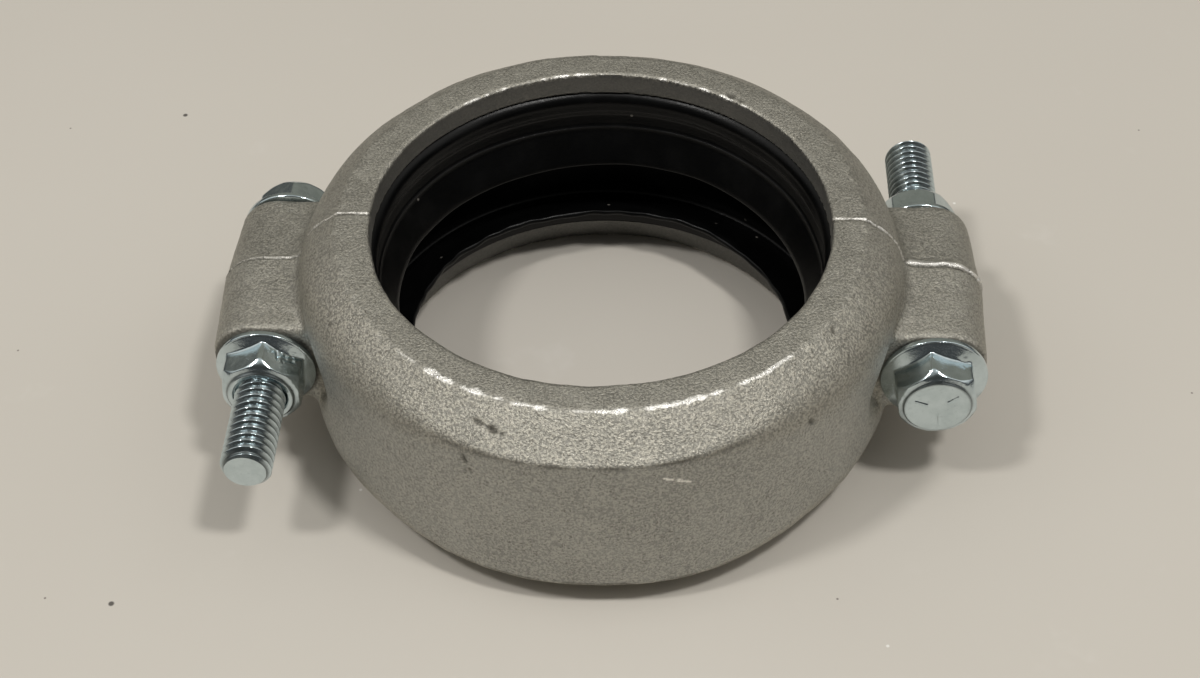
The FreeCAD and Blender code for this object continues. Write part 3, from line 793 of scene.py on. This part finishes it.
upper_lip = [(47.2, 12.9, 0.8), (45.3, 12.9, 0.8), (39.82, 1.41, 0.35), (38.9, 1.8, 0.3)]
moulding_line = [(42.0, 9.0, 0), (41.95, 9.26, 0.1), (42.14, 9.4, 0), (42.6, 12.0, 1.0)]
upper_bead = [(42.1, 13.2, 0.8), (42.1, 17.15, 2.4)]
outside = [(51.2, 17.15, 2.8), (51.2, -17.15, 2.8)]
lower_bead = [(42.1, -17.15, 0.7), (42.1, -14.0, 0.8)]
lower_lip = [(36.9, -10.11, 0.35), (37.32, -9.2, 0.35), (45.3, -12.9, 0.8), (47.2, -12.9, 0.8)]
corners = upper_lip + moulding_line + upper_bead + outside + lower_bead + lower_lip
section = refine(rounded_path(corners, 0.25), 1.0, closed=True)
sweep = np.linspace(0, math.tau, 400, endpoint=False)[:, None]
gasket_points, gasket_faces = turned(section[:, 0], sweep, section[:, 1], True, True)
gasket_radius = np.hypot(gasket_points[:, 0], gasket_points[:, 1])
tall = np.abs(gasket_points[:, 2])
free = np.clip((45 - gasket_radius) / 6, 0, 1) * (tall < 13.5)
bead = near(tall - 15, 1.8) * (gasket_radius < 44)
wander = 0.32 * ripples(gasket_points, 34, 5) + 0.08 * ripples(gasket_points, 9, 6)
wander = free * wander + bead * 0.05 * ripples(gasket_points, 12, 8)
low_tip = free * (gasket_points[:, 2] < -8)
wander += low_tip * (0.12 * ripples(gasket_points, 2.6, 9) - 0.35 * gasket_points[:, 0] / 40)
gasket_points[:, :2] *= (1 + wander / gasket_radius)[:, None]
gasket_points[:, 2] += free * 0.14 * ripples(gasket_points, 25, 7)
make_piece("seal", gasket_points, gasket_faces, rubber_finish(), "rear", "gasket")

# %% [markdown]
# ## Bolts and nuts
# The fasteners are steel with bright zinc. A hexagon head is a turned shape whose rings aren't
# round: each ring is a closed curve given by a radius for every angle, and the rings are joined
# one after another from the middle of the top to the underside. The hexagon's radius is half its
# width over the cosine of the angle from the nearest flat. The top is a round face that stands a
# little proud, and the corners outside it fall away steeply, as they do in a cold-pressed head.

# %% Rings and hexagons
HEX_HALF = 7.144
HEX_LAND = 5.95
HEAD_TOP = 8.5
HEAD_FLANGE = 9.9
NUT_TOP = 8.3
NUT_FLANGE = 9.35
FLANGE_SLOPE = math.tan(math.radians(28))
FLANGE_RIM = 1.1
SPOKES = 240
ANGLES = np.linspace(0, math.tau, SPOKES, endpoint=False)


def hexagon():
    """Radius of a hexagon with a corner along local Y and its corners a little rounded."""
    from_flat = (ANGLES + math.pi / 6) % (math.pi / 3) - math.pi / 6
    worn = HEX_HALF / math.cos(math.pi / 6) - 0.12
    return smooth_min(HEX_HALF / np.cos(from_flat), worn + 0 * ANGLES, 0.2)


def corner_drop(radius):
    """How far the worn edge of the top lies below the middle."""
    step = 0.3 * np.clip((radius - HEX_LAND) / 0.28, 0, 1)
    return step + 0.45 * np.maximum(radius - HEX_LAND, 0) + 1.1 * np.maximum(radius - 7.2, 0)


def loft(rings, closed=False):
    """Points and faces of rings joined in order. Each ring is (radius, height) for every spoke."""
    radius = np.array([ring[0] + 0 * ANGLES for ring in rings])
    height = np.array([ring[1] + 0 * ANGLES for ring in rings])
    return turned(radius, ANGLES[None, :], height, closed, True)


def hexagon_rings(top, flange):
    """Rings from the edge of the top face down over the corners, the flats and the flange."""
    edge = hexagon()
    rings = [(HEX_LAND - 0.04, top), (HEX_LAND + 0.03, top - 0.04), (HEX_LAND + 0.27, top - 0.32)]
    for share in (0.3, 0.45, 0.7, 0.9, 0.97):
        radius = HEX_LAND + (edge - 0.06 - HEX_LAND) * share
        rings.append((radius, top - corner_drop(radius)))
    shoulder = top - corner_drop(edge) - 0.07
    rings.append((edge - 0.02, shoulder + 0.04))
    foot = FLANGE_RIM + (flange - edge) * FLANGE_SLOPE
    for share in np.linspace(0, 0.93, 15):
        rings.append((edge, shoulder + (foot + 0.2 - shoulder) * share))
    for out, up in ((0.02, 0.14), (0.08, 0.02), (0.2, -0.1)):
        rings.append((edge + out, foot + up))
    for share in np.linspace(0.12, 0.97, 10):
        radius = edge + 0.2 + (flange - 0.5 - edge) * share
        rings.append((radius, FLANGE_RIM + (flange - radius) * FLANGE_SLOPE))
    for turn in np.linspace(0, 90, 5):
        lean = math.radians(turn)
        rings.append((flange - 0.25 + 0.25 * math.sin(lean), FLANGE_RIM - 0.15 + 0.25 * math.cos(lean)))
    rings += [(flange, FLANGE_RIM * 0.5), (flange, 0.25), (flange - 0.07, 0.07), (flange - 0.25, 0.0)]
    return rings

# %% [markdown]
# ## The thread
# A thread is a ridge that climbs one pitch per turn. Ten points across one pitch give its crest,
# its flanks and its root, and that row is repeated round a helix from the tip upwards. A Screw
# modifier would do the same, but here the ridge fades into the plain shank and is cut by the bevel
# at the tip. Two points lie close together at each edge, which keeps the edges crisp.

# %% Thread, bolt and nut
PITCH = 1.5875
MAJOR = 4.74
SHANK_INSET = 0.25
THREAD_DEPTH = 0.86
BOLT_LENGTH = 63.5
THREADED = 34.0
TIP_BEVEL = 0.95


def thread():
    """Points and faces of the threaded part, from the tip up to the plain shank."""
    low = -BOLT_LENGTH
    high = THREADED - BOLT_LENGTH
    across = np.array([-0.5, -0.385, -0.36, -0.08, -0.045, 0.045, 0.08, 0.36, 0.385, 0.5])
    turns = np.arange(0, THREADED / PITCH + 1, 1 / (120))[:, None]
    height = np.clip(low + (turns - 0.5 + across) * PITCH, low, high)
    drop = np.clip((np.abs(across) - 1 / 16) * PITCH * 1.732, 0, THREAD_DEPTH)
    fade = np.clip((high - height) / (1.6 * PITCH), 0, 1)
    radius = MAJOR - SHANK_INSET * (1 - fade) - drop * fade
    radius = smooth_min(radius, MAJOR - TIP_BEVEL + height - low, 0.04)
    points, faces = turned(radius, turns * math.tau, height, False, False)
    stays = (points[faces, 2] > low).any(1) & (points[faces, 2] < high).any(1)
    return points, faces[stays]


def dashes(points):
    """Height of three short raised lines on the head, which grade the steel."""
    raised = np.zeros(len(points))
    for turn in (30, 150, 270):
        way = np.array([math.cos(math.radians(turn)), math.sin(math.radians(turn)), 0])
        reach = segment_distance(points, way * 2.1 + (0, 0, HEAD_TOP), way * 4.5 + (0, 0, HEAD_TOP))
        raised += 0.2 * np.clip(1.25 - reach / 0.3, 0, 1)
    return raised


def join(*shapes):
    """Several shapes as one."""
    points = np.concatenate([shape[0] for shape in shapes])
    starts = np.cumsum([0] + [len(shape[0]) for shape in shapes])
    return points, np.concatenate([shape[1] + start for shape, start in zip(shapes, starts)])


def make_bolt():
    """A flange head and its shank, with the seat at height 0."""
    face = [(radius, HEAD_TOP) for radius in np.linspace(0, HEX_LAND - 0.2, 30)]
    head, head_faces = loft(face + hexagon_rings(HEAD_TOP, HEAD_FLANGE) + [(0.0, 0.0)])
    on_top = head[:, 2] > HEAD_TOP - 0.005
    head[:, 2] += np.where(on_top, dashes(head) - 0.1, 0)
    rim = MAJOR - TIP_BEVEL
    heights = np.linspace(0, THREADED - BOLT_LENGTH, 12)
    shank = loft([(4.0, 0.3)] + [(MAJOR - SHANK_INSET, height) for height in heights])
    tip = loft([(radius, -BOLT_LENGTH) for radius in (rim, rim - 0.06, rim * 0.7, rim * 0.35, 0.0)])
    return join((head, head_faces), shank, thread(), tip)


def make_nut():
    """A flange nut with its seat at height 0."""
    bore = MAJOR + 0.06
    top = NUT_TOP
    rings = [(bore, 0.7), (bore, top - 0.5), (bore + 0.18, top - 0.28), (bore + 0.38, top - 0.03)]
    rings.append((bore + 0.46, top))
    rings += [(radius, top) for radius in np.linspace(bore + 0.55, HEX_LAND - 0.12, 5)]
    return loft(rings + hexagon_rings(top, NUT_FLANGE) + [(bore + 0.8, 0.0)], closed=True)

# %% [markdown]
# ## Bright zinc
# Zinc plate is a clear, faintly blue metal. Its colour is nearly white and its gloss high, but
# the plating bath leaves soft clouds and a fine orange peel, and handling leaves small dents on
# the edges. A little roughness noise and two bumps are enough to break the mirror. The roots of
# the thread and the seam round the top face get painted shade, which draws them dark.

# %% Plated finish and its pieces
def zinc_finish():
    """Bright zinc plate with stains, orange peel and painted shade in the hollows."""
    finish = Finish("zinc_plate")
    place = finish.millimetres()
    clouds = finish.noise(place, 2.6, 4, 0.6).between(0.3, 0.7)
    stain = finish.noise(place, 0.9, 3, 0.65).between(0.55, 0.75)
    colour = finish.mix(clouds, (0.56, 0.65, 0.68), (0.65, 0.745, 0.78))
    colour = finish.mix(stain * 0.4, colour, (0.38, 0.44, 0.46))
    # Painted shade in the thread roots, on the tip bevel and in the seam round the top face.
    shade_mask = finish.measured("painted_shade")
    colour = finish.mix(shade_mask * 0.8, colour, (0.07, 0.075, 0.07))
    rough = 0.11 + clouds * 0.07 + stain * 0.12 + shade_mask * 0.2
    peel = finish.noise(place, 0.7, 2, 0.5) * 0.6 + finish.noise(place, 0.18, 2, 0.5) * 0.4
    return finish.dress(Base_Color=colour, Metallic=1.0, Roughness=rough,
                        Normal=finish.bump(peel, 0.03))


zinc = zinc_finish()
SEATS = {     # where a seat is, how a fastener leans and how far its hexagon is turned, in degrees
    "bolt_left": (-BOLT_X, SEAT, -90, 3),
    "nut_left": (-BOLT_X, -SEAT, 90, -4),
    "bolt_right": (BOLT_X, -SEAT, 90, 10),
    "nut_right": (BOLT_X, SEAT, -90, 20),
}


def seat_fastener(name, body, node, shape, seed, chips=()):
    """Wear a bolt or nut a little, stand it on its seat and make it a piece."""
    points, faces = shape
    reach = np.hypot(points[:, 0], points[:, 1])
    away = points[:, :2] / np.maximum(reach, 0.1)[:, None]
    wobble = 0.012 * ripples(points, 3, seed) + 0.004 * ripples(points, 0.9, seed + 1)
    for place, width in chips:
        chipped = near(np.linalg.norm(points - place, axis=1), width)
        wobble -= chipped * np.clip(0.12 + 0.1 * ripples(points, 0.55, seed + 2), 0, 1)
    points[:, :2] += away * (wobble * (points[:, 2] > 0.02) * (reach > 5.3))[:, None]
    on_thread = (points[:, 2] < 0) & (points[:, 2] > 0.01 - BOLT_LENGTH)
    # Painted shade: the thread roots and tip bevel, and the seam round the top face, are marked dark.
    root = np.clip((MAJOR - reach - 0.3) / 0.4, 0, 1) * on_thread
    seam = near(reach - HEX_LAND - 0.25, 0.22) * (points[:, 2] > 7.5)
    shade_mask = {"painted_shade": np.maximum(root, seam)}
    x, y, lean, turn = SEATS[node]
    lay_down = Matrix.Rotation(math.radians(lean), 3, "X")
    points = points @ np.array(lay_down @ Matrix.Rotation(math.radians(turn), 3, "Z")).T + (x, y, 0)
    make_piece(name, points, faces, zinc, body, node, shade_mask)


left_nut_chips = [((3.2, 6.4, 3.4), 1.3), ((5.6, 4.6, 2.6), 1.5)]
seat_fastener("left_bolt", "rear", "bolt_left", make_bolt(), 31)
seat_fastener("right_bolt", "front", "bolt_right", make_bolt(), 37, [((5.6, 5.2, 2.6), 0.9)])
seat_fastener("left_nut", "nut_left", "nut_left", make_nut(), 41, left_nut_chips)
seat_fastener("right_nut", "nut_right", "nut_right", make_nut(), 43)
